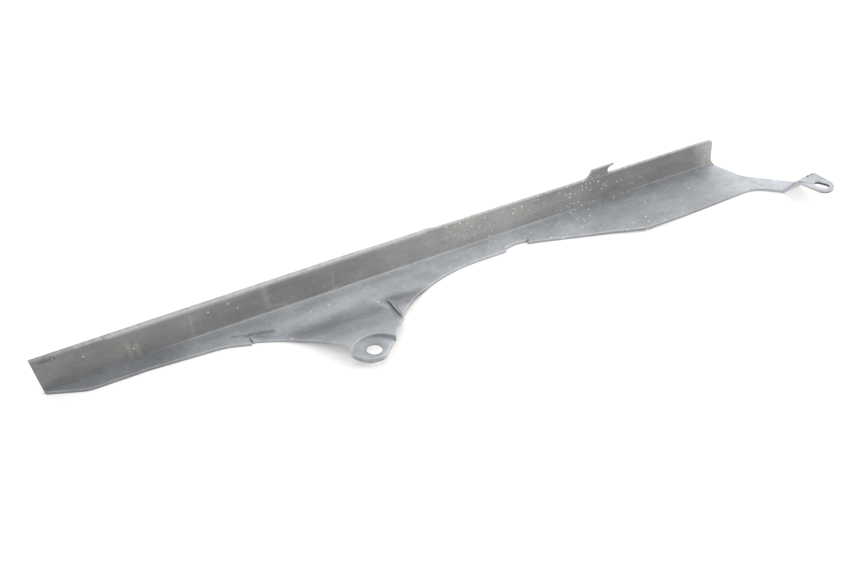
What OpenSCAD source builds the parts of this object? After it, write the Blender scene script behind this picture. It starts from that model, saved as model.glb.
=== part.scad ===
// Chain guard for a motorcycle, one moulded piece of L section.
// It lies on the outer face of its side wall, with the chain side up.
// X runs along the bend from the rear end to the front tab, Z is up.
// The side wall spreads to -Y of the bend, the top wall stands at +Y of it.
// All lengths are in millimetres.

/* [Body] */

// Distance from the rear end to the axis of the ear's hole
ear_x = 188.5; // [170:0.5:230]
// Distance from that axis to the corner of the flap
waist_length = 220.5; // [190:0.5:260]
// Distance from the corner of the flap to the front end of the top wall
flap_length = 83.2; // [70:0.1:100]
// Thickness of the side wall, the neck and the tab
side_thickness = 2.2; // [1.8:0.1:2.8]
// Thickness of the top wall
top_thickness = 1.8; // [1.4:0.1:2.6]
// Height of the top wall over the outer face, rear stretch
rear_height = 25.6; // [22:0.1:32]
// Height of the top wall where the rear lip has ended
step_height = 25.3; // [21:0.1:31]
// Height of the top wall at its front end
front_height = 22.1; // [18:0.1:25]
// Radius on the outer corner of the bend
outer_radius = 3; // [1:0.5:4]
// Radius in the inner corner of the bend
inner_radius = 0.8; // [0.4:0.2:2]
// How far the top edge reaches behind the foot of the rear end
rear_rake = 6.5; // [0:0.5:12]

/* [Lip of the top wall] */

// Distance from the rear end to the place where the lip ends
lip_end = 268; // [200:1:320]
// Thickness of the top edge where the lip runs
lip_thickness = 3.2; // [2.8:0.1:5]
// Depth of the lip below the top edge
lip_depth = 3; // [2:0.5:6]
// How far the lip stands out behind the raked rear edge
lip_overhang = 0; // [0:0.1:2]

/* [Side wall] */

// Width of the side wall along the rear stretch
rear_width = 13; // [10:0.1:15]
// Length over which the side wall's rear corner is cut back
rear_taper = 24; // [16:0.5:34]
// Width of the side wall between the ear and the front flap
waist_width = 17; // [15:0.1:22]
// Length of the hollow curve from the shelf to the straight waist
hollow_length = 72.5; // [64:0.5:80]
// Radius of the hollow curve from the ear to the waist
hollow_radius = 101; // [88:1:115]
// Width of the side wall at the front flap
flap_width = 42.7; // [36:0.1:48]
// Width of the side wall at its front end
flap_front_width = 39.3; // [36:0.1:42]

/* [Damage on the side wall's edge] */

// Distance from the tear to the axis of the ear's hole
tear_reach = 61.9; // [60:0.1:75]
// Depth of the tear
tear_depth = 7; // [1:0.1:8]
// Distance from the axis of the ear's hole to the long chip
chip_reach = 126; // [116:0.5:136]
// Length of the long chip
chip_length = 19; // [10:0.5:24]
// Depth of the long chip
chip_depth = 2.8; // [0.5:0.1:4]

/* [Mounting ear] */

// Distance from the bend to the axis of the ear's hole
ear_y = 68.6; // [66:0.1:70]
// Diameter of the ear's hole
hole_diameter = 10; // [6:0.1:11]
// Diameter of the dished ring round the hole
dish_diameter = 17; // [14:0.1:18]
// Depth of the dished ring
dish_depth = 1.2; // [0.6:0.1:1.4]
// Distance from the hole's axis outwards to the axis of the cone that carries the ear
boss_offset = 8.4; // [6:0.1:10]
// Height of the seat's face over the outer face of the guard
seat_height = 7.4; // [6:0.1:9]
// Thickness of the ear under the seat
seat_thickness = 3.5; // [3:0.1:4]
// Radius of the round seat that is sunk in the cone's top
seat_radius = 17.8; // [17:0.1:19]
// Height of the crest round the seat
crest_height = 10.2; // [9:0.1:11.5]
// Radius at which the crest begins to fall away
crest_radius = 24; // [21:0.5:26]
// Radius at which the cone meets the side wall
cone_radius = 56; // [50:0.5:60]

/* [Shelf beside the ear] */

// Distance from the hole's axis to the upright face of the shelf
shelf_reach = 31; // [29:0.5:34]
// Height of the shelf over the side wall at that face
shelf_rise = 3.2; // [2.4:0.1:4]
// Length over which the shelf runs out towards the front
shelf_length = 42; // [30:1:60]
// Distance from the bend to the rear edge of the shelf
shelf_back = 27; // [22:0.5:32]
// Thickness of the shelf's two upright walls
shelf_wall = 1.8; // [1.4:0.1:2.4]

/* [Hook on the top edge] */

// Distance from the foot of the hook to the front end of the top wall
hook_reach = 106; // [72:0.5:160]
// Length of the hook along the edge, up to its nose
hook_length = 24; // [18:0.5:32]
// Height of the hook over the top edge
hook_height = 6.2; // [5:0.1:9]
// Depth of the mouth under the hook's nose
hook_mouth = 3.6; // [2:0.1:5]
// Thickness of the hook's nose
hook_nose = 2.3; // [1.5:0.1:2.6]

/* [Neck and front tab] */

// Length of the neck, from the front end of the top wall to the first fold
neck_length = 32.4; // [30:0.1:40]
// Distance from the bend to the middle of the first fold
fold_y = 50.6; // [48:0.1:54]
// Angle of the folds to the bend
fold_angle = 8; // [4:1:14]
// Width of the neck along the first fold
neck_width = 16.6; // [15:0.1:18]
// Rise from the neck to the tab
tab_rise = 13.8; // [8:0.1:18]
// Run of the sloping part, square to the folds
tab_run = 11.4; // [8:0.1:14]
// Length of the tab from the second fold to its tip
tab_length = 20.8; // [19:0.1:26]
// Width of the tab at the second fold
tab_width = 18.4; // [17:0.1:19.5]
// Radius of the tab's round tip
tip_radius = 7.2; // [7:0.1:8]
// How far the tip sits to the far side of the neck's middle
tip_offset = 3; // [0:0.1:4]
// Length of the tab's slot
slot_length = 10.2; // [8:0.1:10.6]
// Width of the tab's slot
slot_width = 5.4; // [4.5:0.1:6]
// How far the slot sits to the near side of the tip's middle
slot_shift = 0.9; // [0:0.1:1.2]
// How far the slot sits back from the tip's middle towards the folds
slot_setback = 0.7; // [0:0.1:1.2]
// Angle by which the slot is turned from the square to the folds
slot_turn = 24; // [10:1:30]

/* [Hidden] */

$fn = 64;
eps = 0.01;
arc_step = 9;

// How far the foot of the rear end reaches behind the point that lengths are taken from
rear_foot = 1.5;

// Unit vector and length helpers for the outlines
function unit(v) = v / norm(v);
function plan(p) = [p[0], p[1]];

// Number of chords for one rounded corner that turns by the given angle
function chords(turn) = max(1, ceil(abs(turn) / arc_step));

// One corner of an outline: [x, y, r] becomes an arc of radius r, tangent to both sides
function corner(a, b, c) =
  let (
    r = len(b) > 2 ? b[2] : 0,
    u = unit(plan(a) - plan(b)),
    v = unit(plan(c) - plan(b)),
    half = acos(u * v) / 2,
    reach = r / tan(half),
    centre = plan(b) + unit(u + v) * (r / sin(half)),
    start = plan(b) + u * reach - centre,
    side = sign(start[0] * v[1] - start[1] * v[0]),
    turn = side * (180 - 2 * half),
    n = chords(turn)
  )
  r == 0 ? [plan(b)] :
  [for (i = [0:n])
    centre + [
      start[0] * cos(turn * i / n) - start[1] * sin(turn * i / n),
      start[0] * sin(turn * i / n) + start[1] * cos(turn * i / n)
    ]];

// Outline with rounded corners from a list of [x, y] and [x, y, r]
function rounded(p) =
  [for (i = [0:len(p) - 1])
    for (q = corner(p[(i + len(p) - 1) % len(p)], p[i], p[(i + 1) % len(p)])) q];

// Distances from the rear end to the corner of the flap and to the front end of the top wall
flap_corner = ear_x + waist_length;
body_length = flap_corner + flap_length;

// The hollow curve is an arc tangent to the waist; its other tangent starts at the shelf
shelf_x = ear_x + shelf_reach;
hollow_drop = hollow_radius - sqrt(pow(hollow_radius, 2) - pow(hollow_length, 2));
hollow_turn = asin(hollow_length / hollow_radius);
hollow_corner = shelf_x + hollow_length - hollow_radius * tan(hollow_turn / 2);
shelf_edge = waist_width + hollow_drop;

// Axis of the cone that carries the ear
boss_x = ear_x;
boss_y = ear_y + boss_offset;

// Distances from the rear end to the tear, the chip and the hook
tear_x = ear_x - tear_reach;
chip_x = ear_x + chip_reach;
hook_x = body_length - hook_reach;

// Directions along and square to the folds, and the middle of the first fold
fold_u = [cos(fold_angle), sin(fold_angle)];
fold_v = [sin(fold_angle), -cos(fold_angle)];
fold_mid = [body_length + neck_length, -fold_y];
tab_top = side_thickness + tab_rise;
tip_centre = at_fold(tip_offset, tab_run + tab_length - tip_radius);

// Box of the whole guard, used to put the origin under its middle
x_min = -rear_foot - rear_rake - lip_overhang;
x_max = tip_centre[0] + tip_radius;
y_min = tip_centre[1] - tip_radius;
y_max = lip_thickness;

// Height of the top edge at a distance from the rear end, beyond the lip
function edge_height(x) =
  step_height + (front_height - step_height) * (x - lip_end) / (body_length - lip_end);

// A point near the folds, given along and square to them
function at_fold(u, v) = fold_mid + fold_u * u + fold_v * v;

// The point where a line from p touches the tab's round tip, on its near (1) or far (-1) side
function touch(p, side) =
  let (
    away = p - tip_centre,
    turn = side * acos(tip_radius / norm(away)),
    arm = unit(away) * tip_radius
  )
  tip_centre + [
    arm[0] * cos(turn) - arm[1] * sin(turn),
    arm[0] * sin(turn) + arm[1] * cos(turn)
  ];

// Plan outline of the flat side wall with the neck, the tear and the chip in its edge
module side_outline() {
  polygon(rounded([
    [-rear_foot, top_thickness],
    [-rear_foot, -3.2, 3],
    [rear_taper - rear_foot, -rear_width, 20],
    [(tear_x - rear_foot) / 2, -rear_width, 60],
    [tear_x - 14.6, -rear_width - 3.6, 40],
    [tear_x, -rear_width - 9],
    [tear_x + 0.9, -rear_width - 9 + tear_depth],
    [tear_x + 1.5, -rear_width - 8],
    [tear_x + 3.4, -rear_width - 7.8],
    [tear_x + 19.4, -boss_y + 48.6, 40],
    [boss_x, -boss_y + 28],
    [shelf_x, -boss_y + 40],
    [shelf_x, -shelf_edge],
    [hollow_corner, -waist_width, hollow_radius],
    [chip_x, -waist_width],
    [chip_x + 2.7, -waist_width + chip_depth],
    [chip_x + chip_length - 7, -waist_width + chip_depth],
    [chip_x + chip_length, -waist_width - 0.6],
    [chip_x + chip_length + 9, -waist_width - 2.2, 12],
    [flap_corner - 23, -flap_width + 9.2, 30],
    [flap_corner, -flap_width, 15],
    [flap_corner + 31, -flap_width + 0.9, 100],
    [body_length + 9, -flap_front_width, 22],
    at_fold(-neck_width / 2, 0),
    at_fold(neck_width / 2, 0),
    [body_length + 10, -23, 15],
    [body_length + 1.8, -4, 8],
    [body_length, top_thickness]
  ]));
}

// Outline of the top wall seen from the side, with the hook and the rounded front corner
module top_outline() {
  foot = edge_height(hook_x);
  nose = hook_x + hook_length;
  polygon(rounded([
    [-rear_foot, 0],
    [-rear_foot - rear_rake, rear_height],
    [lip_end, rear_height],
    [lip_end + 1.5, step_height],
    [hook_x, foot, 5],
    [hook_x + 6, foot + hook_height, 1.5],
    [nose, foot + hook_height, 0.7],
    [nose, foot + hook_height - hook_nose, 0.7],
    [nose - hook_mouth, foot + hook_height - hook_nose - 0.2, 1.5],
    [nose - hook_mouth, edge_height(nose - hook_mouth), 1.2],
    [body_length, front_height, 3],
    [body_length, 0]
  ]));
}

// Plan outline of the ear with its flanks
module ear_outline() {
  polygon(rounded([
    [tear_x + 3.4, -rear_width - 7.8],
    [tear_x + 19.4, -boss_y + 48.6, 40],
    [boss_x - 28.5, -boss_y + 36.5, 50],
    [boss_x - 14.9, -boss_y + 17, 1.5],
    [boss_x - 14.3, -boss_y + 7.5, 7],
    [boss_x - 8.2, -boss_y - 0.6, 8],
    [boss_x + 2.4, -boss_y - 2.1, 8],
    [boss_x + 13.6, -boss_y + 8.6, 10],
    [boss_x + 19, -boss_y + 14.8, 3],
    [shelf_x, -shelf_edge],
    [shelf_x, -boss_y + 59],
    [tear_x + 11.4, -boss_y + 65]
  ]));
}

// Flat part of the side wall
module side_wall() {
  color("dimgray")
    difference() {
      linear_extrude(height = side_thickness) side_outline();
      ear_room();
      shelf_room();
    }
}

// Top wall with its lip
module top_wall() {
  color("dimgray") {
    translate([0, top_thickness, 0]) rotate([90, 0, 0])
      linear_extrude(height = top_thickness) top_outline();
    lip();
  }
}

// Lip along the top edge of the rear stretch, with a sloping underside
module lip() {
  translate([x_min, 0, rear_height]) rotate([90, 0, 90])
    linear_extrude(height = lip_end - x_min)
      polygon([
        [0, 0],
        [0, -lip_depth],
        [top_thickness, -lip_depth],
        [lip_thickness, -lip_depth + 1.2],
        [lip_thickness, 0]
      ]);
}

// Material that fills the inner corner of the bend
module inner_fillet() {
  color("dimgray")
    translate([-rear_foot, 0, side_thickness]) rotate([90, 0, 90])
      linear_extrude(height = body_length + rear_foot)
        difference() {
          translate([-inner_radius, -eps]) square([inner_radius + eps, inner_radius + eps]);
          translate([-inner_radius, inner_radius]) circle(r = inner_radius, $fn = 32);
        }
}

// Tool that rounds the outer corner of the bend
module outer_corner() {
  translate([-20, top_thickness, 0]) rotate([90, 0, 90])
    linear_extrude(height = body_length + 40)
      difference() {
        translate([-outer_radius, -1]) square([outer_radius + 1, outer_radius + 1]);
        translate([-outer_radius, outer_radius]) circle(r = outer_radius);
      }
}

// Cone that carries the ear, with its round seat, hollow below
module ear() {
  color("dimgray")
    intersection() {
      linear_extrude(height = crest_height + 1) ear_outline();
      translate([boss_x, -boss_y, 0])
        rotate_extrude($fn = 96)
          polygon([
            [0, seat_height - seat_thickness],
            [seat_radius + 1, seat_height - seat_thickness],
            [crest_radius, crest_height - side_thickness],
            [cone_radius, 0],
            [cone_radius + 20, 0],
            [cone_radius + 20, side_thickness],
            [cone_radius, side_thickness],
            [crest_radius, crest_height],
            [seat_radius + 1, crest_height],
            [seat_radius, seat_height],
            [0, seat_height]
          ]);
    }
}

// Hole of the ear with the dished ring round it and the relief below
module ear_hole() {
  translate([ear_x, -ear_y, 0]) {
    translate([0, 0, -1]) cylinder(d = hole_diameter, h = seat_height + 2);
    translate([0, 0, seat_height - dish_depth])
      cylinder(d1 = hole_diameter, d2 = dish_diameter, h = dish_depth + eps);
    translate([0, 0, -1])
      cylinder(d = hole_diameter + 3, h = seat_height - seat_thickness + 1 + 1.1);
  }
}

// Room under the cone, cut out of the flat side wall
module ear_room() {
  intersection() {
    translate([0, 0, -1]) linear_extrude(height = side_thickness + 2) ear_outline();
    translate([boss_x, -boss_y, -1]) cylinder(r = cone_radius, h = side_thickness + 2, $fn = 96);
  }
}

// Shelf that stands over the side wall beside the ear and runs out to the front
module shelf() {
  color("dimgray")
    difference() {
      intersection() {
        linear_extrude(height = side_thickness + shelf_rise) side_outline();
        translate([shelf_x, -shelf_back, 0]) rotate([90, 0, 0])
          linear_extrude(height = 40)
            polygon([
              [0, 0],
              [0, side_thickness + shelf_rise],
              [shelf_length, side_thickness],
              [shelf_length, 0]
            ]);
      }
      shelf_room();
    }
}

// Room under the shelf, which leaves its two upright walls standing
module shelf_room() {
  slope = shelf_rise / shelf_length;
  translate([shelf_x, -shelf_back - shelf_wall, 0]) rotate([90, 0, 0])
    linear_extrude(height = 40)
      polygon([
        [shelf_wall, -1],
        [shelf_wall, shelf_rise - slope * shelf_wall],
        [shelf_length, 0],
        [shelf_length, -1]
      ]);
}

// Folded strip from the neck up to the tab, cut to the plan of the tab
module tab() {
  color("dimgray")
    difference() {
      intersection() {
        translate([fold_mid[0], fold_mid[1], 0]) rotate([0, 0, fold_angle]) rotate([90, 0, -90])
          linear_extrude(height = 40, center = true)
            polygon([
              [-2, 0],
              [0.8, 0],
              [tab_run + 0.8, tab_rise],
              [tab_run + tab_length + 2, tab_rise],
              [tab_run + tab_length + 2, tab_top],
              [tab_run - 0.8, tab_top],
              [-0.8, side_thickness],
              [-2, side_thickness]
            ]);
        linear_extrude(height = tab_top + 1) tab_outline();
      }
      tab_slot();
    }
}

// Plan outline of the folded strip and the tab
module tab_outline() {
  near_corner = at_fold(-tab_width / 2, tab_run);
  far_corner = at_fold(tab_width / 2, tab_run);
  polygon([
    at_fold(-neck_width / 2, -1.5),
    at_fold(-neck_width / 2, 0),
    near_corner,
    touch(near_corner, 1),
    touch(far_corner, -1),
    far_corner,
    at_fold(neck_width / 2, 0),
    at_fold(neck_width / 2, -1.5)
  ]);
  translate(tip_centre) circle(r = tip_radius);
}

// Slot through the tab
module tab_slot() {
  middle = tip_centre - slot_shift * fold_u - slot_setback * fold_v;
  translate([middle[0], middle[1], tab_rise - 1])
    rotate([0, 0, fold_angle - 90 + slot_turn]) {
      reach = (slot_length - slot_width) / 2;
      for (end = [-1, 1])
        translate([end * reach, 0, 0]) cylinder(d = slot_width, h = side_thickness + 2);
      translate([-reach, -slot_width / 2, 0]) cube([2 * reach, slot_width, side_thickness + 2]);
    }
}

// The whole guard, with its origin under the middle of its box
module chain_guard() {
  translate([-(x_min + x_max) / 2, -(y_min + y_max) / 2, 0])
    difference() {
      union() {
        side_wall();
        top_wall();
        inner_fillet();
        ear();
        shelf();
        tab();
      }
      outer_corner();
      ear_hole();
    }
}

chain_guard();
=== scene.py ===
"""Motorcycle chain guard: its moulded skin, worn finish with painted light and shade, floor, light and
camera.

Lengths are millimetres in the guard's own measure: X runs along the bend from the rear end, Y from the
side wall's free edge (negative) to the top wall, Z up from the face that it lies on. place() turns them
into the frame's metres.
"""
import math

import bpy
import numpy as np
from mathutils import Matrix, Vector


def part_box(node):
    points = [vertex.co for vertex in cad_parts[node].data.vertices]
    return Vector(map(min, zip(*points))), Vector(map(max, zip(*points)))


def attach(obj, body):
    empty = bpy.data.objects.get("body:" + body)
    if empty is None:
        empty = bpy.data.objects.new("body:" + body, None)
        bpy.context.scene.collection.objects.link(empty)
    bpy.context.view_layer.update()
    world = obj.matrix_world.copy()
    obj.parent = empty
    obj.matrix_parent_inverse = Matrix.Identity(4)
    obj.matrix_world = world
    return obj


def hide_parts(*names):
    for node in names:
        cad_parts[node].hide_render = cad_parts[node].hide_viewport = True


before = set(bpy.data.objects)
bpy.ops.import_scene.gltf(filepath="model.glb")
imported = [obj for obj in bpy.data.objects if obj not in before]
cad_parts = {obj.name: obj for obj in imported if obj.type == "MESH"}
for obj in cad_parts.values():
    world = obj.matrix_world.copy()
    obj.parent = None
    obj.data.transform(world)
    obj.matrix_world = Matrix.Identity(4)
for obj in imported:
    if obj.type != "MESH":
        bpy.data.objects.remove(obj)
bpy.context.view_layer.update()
low, high = (np.array(corner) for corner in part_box("chain_guard"))

# Body of the guard
EAR_X, EAR_Y = 188.5, -68.6
WAIST_LENGTH = 220.5
FLAP_LENGTH = 83.2
FLAP_CORNER = EAR_X + WAIST_LENGTH
BODY_LENGTH = FLAP_CORNER + FLAP_LENGTH
SIDE_THICK = 2.2
TOP_THICK = 1.8
REAR_FOOT = 1.5
REAR_RAKE = 6.5
REAR_HEIGHT = 25.6
STEP_HEIGHT = 25.3
FRONT_HEIGHT = 22.1
OUTER_RADIUS = 3.0

# Lip of the top wall
LIP_END = 268.0
LIP_THICK = 3.2
LIP_DEPTH = 3.0

# Side wall
REAR_WIDTH = 13.0
REAR_TAPER = 24.0
WAIST_WIDTH = 17.0
HOLLOW_LENGTH = 72.5
HOLLOW_RADIUS = 101.0
FLAP_WIDTH = 42.7
FLAP_FRONT_WIDTH = 39.3

# Tear and chip in the side wall's edge
TEAR_X = EAR_X - 61.9
TEAR_DEPTH = 7.0
CHIP_X = EAR_X + 126.0
CHIP_LENGTH = 19.0
CHIP_DEPTH = 2.8

# Ear: hole with its dished ring, sunk seat, crest and ramp
HOLE_RADIUS = 5.0
DISH_RADIUS = 8.5
DISH_DEPTH = 1.2
BOSS_X, BOSS_Y = EAR_X, EAR_Y - 8.4
SEAT_HEIGHT = 7.4
SEAT_THICK = 3.5
SEAT_RADIUS = 17.8
RELIEF_RADIUS = 6.5
RELIEF_DEPTH = 1.1
CREST_HEIGHT = 10.2
CREST_RADIUS = 24.0
RIDGE_Y = -22.0

# Shelf beside the ear
SHELF_X = EAR_X + 31.0
SHELF_RISE = 3.2
SHELF_LENGTH = 42.0
SHELF_BACK = -27.0
SHELF_EDGE = -(WAIST_WIDTH + HOLLOW_RADIUS - math.sqrt(HOLLOW_RADIUS**2 - HOLLOW_LENGTH**2))
SHELF_SOFT = 4.5

# Hook on the top edge
HOOK_X = BODY_LENGTH - 106.0
HOOK_LENGTH = 23.5
HOOK_HEIGHT = 6.2
HOOK_MOUTH = 5.0
HOOK_NOSE = 1.2

# Neck and front tab
FOLD_ANGLE = math.radians(8)
FOLD_U = np.array([math.cos(FOLD_ANGLE), math.sin(FOLD_ANGLE)])
FOLD_V = np.array([math.sin(FOLD_ANGLE), -math.cos(FOLD_ANGLE)])
FOLD_MID = np.array([BODY_LENGTH + 32.4, -50.6])
NECK_WIDTH = 16.6
TAB_RISE = 13.8
TAB_RUN = 11.4
TAB_LENGTH = 20.8
TAB_WIDTH = 18.4
TIP_RADIUS = 7.2
TIP_OFFSET = 3.0
SLOT_LENGTH = 10.2
SLOT_WIDTH = 5.4
SLOT_SHIFT = 0.9
SLOT_SETBACK = 0.7
SLOT_TURN = math.radians(24)
TAB_TOP = SIDE_THICK + TAB_RISE

# Roundings of the plates' edges, where the side wall ends in the bend, and how finely grids are divided
EDGE_ROUND = 0.55
FOOT_ROUND = 0.3
BEND_Y = 0.7
SIDE_ROWS = 34
RAMP_COLUMNS = 104

# Where the guard's measure starts in the frame, taken from the solid's box
ORIGIN = np.array([low[0] * 1000 + REAR_FOOT + REAR_RAKE, high[1] * 1000 - LIP_THICK, low[2] * 1000])


def place(points):
    """Points in the guard's millimetres as points in the frame's metres."""
    return (np.asarray(points, float) + ORIGIN) / 1000


def smooth(x, start, end):
    """0 before start, 1 after end, with a soft S between them."""
    t = np.clip((x - start) / (end - start), 0, 1)
    return t * t * (3 - 2 * t)


def at_fold(u, v):
    """Plan point at u along and v square to the first fold of the neck."""
    return FOLD_MID + u * FOLD_U + v * FOLD_V


def directions(angles):
    """Plan vectors of length 1 at angles."""
    return np.stack([np.cos(angles), np.sin(angles)], 1)


def quarter_round(count):
    """Steps of a quarter circle of radius 1, as what is left of the way to one side and gone to the other."""
    return [(1 - math.sin(a), 1 - math.cos(a)) for a in np.linspace(0, math.pi / 2, count)]


def rounded(corners):
    """Open outline through corners given as (x, y) or (x, y, r): r is a tangent arc's radius."""
    arc_degrees = 4.0
    out = []
    for i, corner in enumerate(corners):
        here = np.array(corner[:2], float)
        radius = corner[2] if len(corner) > 2 else 0
        if radius == 0 or i in (0, len(corners) - 1):
            out.append(here[None])
            continue
        back = np.array(corners[i - 1][:2], float) - here
        ahead = np.array(corners[i + 1][:2], float) - here
        back /= np.linalg.norm(back)
        ahead /= np.linalg.norm(ahead)
        half = math.acos(np.clip(back @ ahead, -1, 1)) / 2
        centre = here + (back + ahead) / np.linalg.norm(back + ahead) * radius / math.sin(half)
        arm = here + back * radius / math.tan(half) - centre
        side = math.copysign(1, arm[0] * ahead[1] - arm[1] * ahead[0])
        count = max(2, math.ceil(math.degrees(math.pi - 2 * half) / arc_degrees))
        angle = side * (math.pi - 2 * half) * np.arange(count + 1) / count
        out.append(centre + np.stack([arm[0] * np.cos(angle) - arm[1] * np.sin(angle),
                                      arm[0] * np.sin(angle) + arm[1] * np.cos(angle)], 1))
    return np.concatenate(out)


def spread(line, count):
    """The same line with count points, evenly spaced along its length."""
    run = np.concatenate([[0], np.cumsum(np.linalg.norm(np.diff(line, axis=0), axis=1))])
    at = np.linspace(0, run[-1], count)
    return np.stack([np.interp(at, run, line[:, k]) for k in range(line.shape[1])], 1)


def chain(start, parts):
    """One line from a start through parts, each given as its corners and its count of even steps."""
    lines = []
    for corners, count in parts:
        lines.append(spread(rounded([start] + corners), count + 1)[:-1])
        start = corners[-1]
    return np.concatenate(lines + [np.array([start[:2]], float)])


def inward(line, closed=False):
    """Unit normals of a plan line, to the left of its direction."""
    if closed:
        step = np.roll(line, -1, 0) - np.roll(line, 1, 0)
    else:
        step = np.gradient(line, axis=0)
    step /= np.linalg.norm(step, axis=1)[:, None]
    return np.stack([-step[:, 1], step[:, 0]], 1)


def sweep_faces(stations, ring, closed):
    """Quads between neighbouring rings, as corner indices into a (stations, ring) grid."""
    i = np.arange(stations if closed else stations - 1)[:, None]
    j = np.arange(ring)[None]
    ahead, up = (i + 1) % stations, (j + 1) % ring
    return np.stack([i * ring + j, ahead * ring + j, ahead * ring + up, i * ring + up], -1).reshape(-1, 4)


def slab(top, bottom, near, far):
    """A closed shell: rings of top rows, near rim, bottom rows and far rim, one ring per station.

    top, bottom, near and far are (stations, rows, 3). Rows of top and bottom run from far to near, the
    near rim runs down and the far rim up. Caps at both ends join top to bottom.
    Returns points, faces and each point's edge mark for wear and painted light: 1 on the round between a
    face and its edge, for wear and a painted highlight, -1 down the cut edge, for painted shade.
    """
    rings = np.concatenate([top, near, bottom[:, ::-1], far], 1)
    stations, ring = rings.shape[:2]
    rows, rim = top.shape[1], near.shape[1]
    rubbed = np.zeros((stations, ring))
    rubbed[:, rows - 1:rows + 3] = 1
    rubbed[:, rows + 4:rows + rim] = -1
    rubbed[:, 0] = 1
    rubbed[:, -3:] = 1
    faces = sweep_faces(stations, ring, False).tolist()
    under = 2 * rows + rim - 1
    for start, turn in ((0, 1), (ring * (stations - 1), -1)):
        caps = [[start + j, start + j + 1, start + under - j - 1, start + under - j]
                for j in range(rows - 1)]
        caps.append([start + k for k in range(rows - 1, rows + rim + 1)])
        caps.append([start + k for k in range(under, ring)] + [start])
        faces += [face[::turn] for face in caps]
    return rings.reshape(-1, 3), faces, rubbed.ravel()


def rim_rows(edge, normal, height, depth, radius=EDGE_ROUND, foot=FOOT_ROUND):
    """Rows of a plate's edge: a quarter round down from the top face and a small one at the foot.

    edge is the outermost plan line. Each row is a plan line and a Z: the top round leaves the top
    face at radius inside the edge, the foot round meets the bottom face at foot inside it.
    """
    radius, foot = radius * np.ones(len(edge)), foot * np.ones(len(edge))
    steps = quarter_round(6)[1:]
    rows = []
    for left, gone in steps:
        rows.append(np.column_stack([edge + normal * (radius * left)[:, None], height - radius * gone]))
    for left, gone in steps[::-1]:
        rows.append(np.column_stack([edge + normal * (foot * left)[:, None], depth + foot * gone]))
    return np.stack(rows, 1)


def ruled(far, near):
    """Plan grid of straight rows between two lines with the same count of points.

    The second row from each line lies at margin from it, so that the worn and highlighted edges stay narrow.
    """
    margin = 0.9
    width = np.linalg.norm(near - far, axis=1)[:, None]
    t = np.linspace(0, 1, SIDE_ROWS)[None] * np.ones_like(width)
    step = np.minimum(margin / width, 0.5 / (SIDE_ROWS - 1))
    t[:, 1:2] = step
    t[:, -2:-1] = 1 - step
    return far[:, None] * (1 - t[..., None]) + near[:, None] * t[..., None]


def with_height(plan, height):
    """Plan grid and Z grid as one grid of points."""
    return np.concatenate([plan, height[..., None]], -1)


def crack(x, y):
    """Depth of the crack: a groove whose section is a bell curve, along a slanted line with two waves.

    It crosses the root of the tear, widens past it and fades out at both ends.
    """
    line = -12.4 - 0.42 * (x - 121.5) + 0.45 * np.sin(x * 1.1) + 0.3 * np.sin(x * 2.7 + 1)
    width = 0.5 + 0.35 * smooth(x, 127, 131)
    return 0.8 * np.exp(-((y - line) / width) ** 2) * smooth(x, 119, 124) * (1 - smooth(x, 135, 142))


def lift(x, y):
    """Rise of the flap's free edge from the floor: the thin wall has bowed a little."""
    return 0.9 * smooth(x, 372, 402) * (1 - smooth(x, 412, 455)) * smooth(-y, 16, 44)


def side_height(x, y):
    """Z of the side wall's upper face: flat, with the shelf as a wedge that runs out forward."""
    run = np.clip(1 - (x - SHELF_X) / SHELF_LENGTH, 0, 1) * (x >= SHELF_X - 0.01)
    shelf = SHELF_RISE * run * smooth(-y, -SHELF_BACK - SHELF_SOFT, -SHELF_BACK + SHELF_SOFT)
    return SIDE_THICK + shelf - crack(x, y) + lift(x, y)


def fold_height(x, y, lead):
    """Rise of the folded strip at a plan point: a straight ramp with eased ends."""
    v = (np.stack([x, y], -1) - FOLD_MID) @ FOLD_V - lead
    t = np.clip(v / TAB_RUN, 0, 1)
    ease = 0.06
    bend = np.where(t < ease, t * t / (2 * ease), t - ease / 2)
    bend = np.where(t > 1 - ease, 1 - ease - (1 - t) ** 2 / (2 * ease), bend)
    return (TAB_RISE - 0.04) * bend / (1 - ease)


def ridge_line(x):
    """Y of the bend between the side wall and the ear's ramp."""
    return RIDGE_Y - 2 * (1 - smooth(x, 160, 190)) - 0.05 * np.maximum(x - 195, 0)


def ramp_height(x, y):
    """Z of the ear's upper face.

    It rises from the ridge to the crest by the share of the way between them that a point has gone, and
    is level from the crest's edge inwards. Beside the shelf's step it is held down to step_foot.
    """
    step_foot = 3.4
    past_ridge = ridge_line(x) - y
    soft = 0.8 + 3.2 * smooth(x, 132, 165)
    past_ridge = np.where(past_ridge < soft, np.maximum(past_ridge + soft, 0) ** 2 / (4 * soft), past_ridge)
    to_crest = np.maximum(np.hypot(x - BOSS_X, y - BOSS_Y) - CREST_RADIUS, 0)
    share = past_ridge / (past_ridge + to_crest + 1e-6)
    power = 1 + 0.4 * np.clip((178 - x) / 25, 0, 1)
    height = SIDE_THICK - 0.03 * (past_ridge == 0) + (CREST_HEIGHT - SIDE_THICK) * share**power
    beside_step = smooth(x, SHELF_X - 7, SHELF_X - 0.5) * (1 - smooth(-y, 42, 54))
    return height - beside_step * np.maximum(height - step_foot, 0) - crack(x, y)


def hollow_corner():
    """X where the hollow curve's end tangents meet."""
    turn = math.asin(HOLLOW_LENGTH / HOLLOW_RADIUS)
    return SHELF_X + HOLLOW_LENGTH - HOLLOW_RADIUS * math.tan(turn / 2)


def shelf_hollow(x, y):
    """Rise of the underside below the shelf, so that its walls keep their thickness."""
    run = np.clip(1 - (x - SHELF_X) / SHELF_LENGTH, 0, 1) * smooth(x, SHELF_X + 1.2, SHELF_X + 2.4)
    return SHELF_RISE * run * smooth(-y, -SHELF_BACK - 2.0, -SHELF_BACK + 6.5)


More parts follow.
